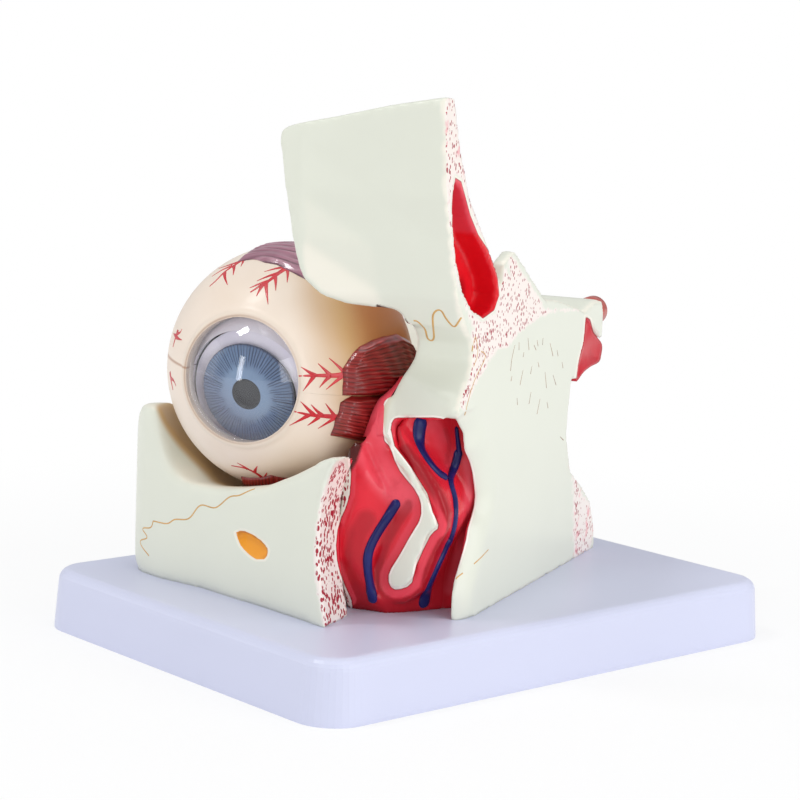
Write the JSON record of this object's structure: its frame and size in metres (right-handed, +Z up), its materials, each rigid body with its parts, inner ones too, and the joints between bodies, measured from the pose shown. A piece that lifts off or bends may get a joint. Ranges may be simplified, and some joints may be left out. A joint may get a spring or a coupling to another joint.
{
  "type": "eye anatomy model",
  "caption": "Take-apart eye anatomy model: an eyeball seated in a cut section of the bony orbit and nose, on a flat base, for classroom display.",
  "frame": {"origin": "centre of the base's underside", "axes": "+X to the right as seen from the front, +Y from the front to the back along the base's long side, +Z up"},
  "size_m": [0.135, 0.18, 0.1636],
  "materials": {
    "base": "semi-gloss moulded plastic, pale lavender white",
    "steel": "plain zinc-coated",
    "bone": "varnished cast plastic, hand painted greenish cream",
    "spongy_bone": "varnished, pink with red dots",
    "mucosa": "glossy red paint",
    "vessel": "glossy brown-red paint",
    "sclera": "varnished, cream airbrushed with tan",
    "pin": "plain plastic",
    "choroid": "painted dark red",
    "vitreous": "clear cast resin",
    "ciliary": "semi-gloss, pale lavender white",
    "lens": "clear polished resin",
    "iris": "painted blue-grey with dark rays",
    "cornea": "clear polished plastic",
    "nerve": "varnished, cream yellow",
    "muscle": "glossy dark red-brown paint with fibre grain",
    "upper_muscle": "glossy purple-brown paint with fibre grain"
  },
  "bodies": {
    "stand": {"base_tray": "base", "base_screw_front": "steel", "base_screw_middle": "steel", "base_screw_back": "steel", "screw_washer_front": "steel", "screw_washer_middle": "steel", "screw_washer_back": "steel", "maxilla": "bone", "frontal_bone": "bone", "frontal_sinus_lining": "mucosa", "nasal_bone": "bone", "nasal_septum": "bone", "ethmoid_block": "bone", "sphenoid_block": "bone", "sphenoid_sinus_lining": "mucosa", "pterygoid_block": "spongy_bone", "vessel_stub": "vessel", "nasal_wall": "mucosa", "nasal_turbinate": "mucosa", "turbinate_cut_edge": "bone"},
    "eye_lower": {"sclera_lower": "sclera", "choroid_lower": "choroid", "seam_pin_inner": "pin", "seam_pin_outer": "pin", "optic_nerve": "nerve", "inferior_rectus": "muscle", "medial_rectus_lower": "muscle", "lateral_rectus_lower": "muscle"},
    "eye_upper": {"sclera_upper": "sclera", "superior_rectus": "upper_muscle", "medial_rectus_upper": "muscle", "lateral_rectus_upper": "muscle"},
    "choroid_upper": {"choroid_upper": "choroid"},
    "vitreous": {"vitreous_body": "vitreous", "ciliary_ring": "ciliary"},
    "lens": {"eye_lens": "lens"},
    "iris": {"iris": "iris"},
    "cornea": {"cornea": "cornea"}
  },
  "joints": [
    {"name": "eye_lift", "type": "slide", "parent": "stand", "child": "eye_lower", "axis": [0, 0, 1], "range_m": [0, 0.1]},
    {"name": "upper_lift", "type": "slide", "parent": "eye_lower", "child": "eye_upper", "axis": [0, 0, 1], "range_m": [0, 0.09]},
    {"name": "choroid_lift", "type": "slide", "parent": "eye_lower", "child": "choroid_upper", "axis": [0, 0, 1], "range_m": [0, 0.064]},
    {"name": "vitreous_lift", "type": "slide", "parent": "eye_lower", "child": "vitreous", "axis": [0, 0, 1], "range_m": [0, 0.037]},
    {"name": "cornea_pull", "type": "slide", "parent": "eye_lower", "child": "cornea", "axis": [0.4226, -0.9063, 0], "range_m": [0, 0.061]},
    {"name": "iris_pull", "type": "slide", "parent": "vitreous", "child": "iris", "axis": [0.3947, -0.8952, -0.2069], "range_m": [0, 0.041]},
    {"name": "lens_pull", "type": "slide", "parent": "vitreous", "child": "lens", "axis": [0.3947, -0.8952, -0.2069], "range_m": [0, 0.023]}
  ],
  "couplings": [
    {"joint": "choroid_lift", "follows": "upper_lift", "ratio": 0.7},
    {"joint": "vitreous_lift", "follows": "upper_lift", "ratio": 0.4},
    {"joint": "cornea_pull", "follows": "upper_lift", "ratio": 0.67},
    {"joint": "iris_pull", "follows": "upper_lift", "ratio": 0.45},
    {"joint": "lens_pull", "follows": "upper_lift", "ratio": 0.25}
  ]
}
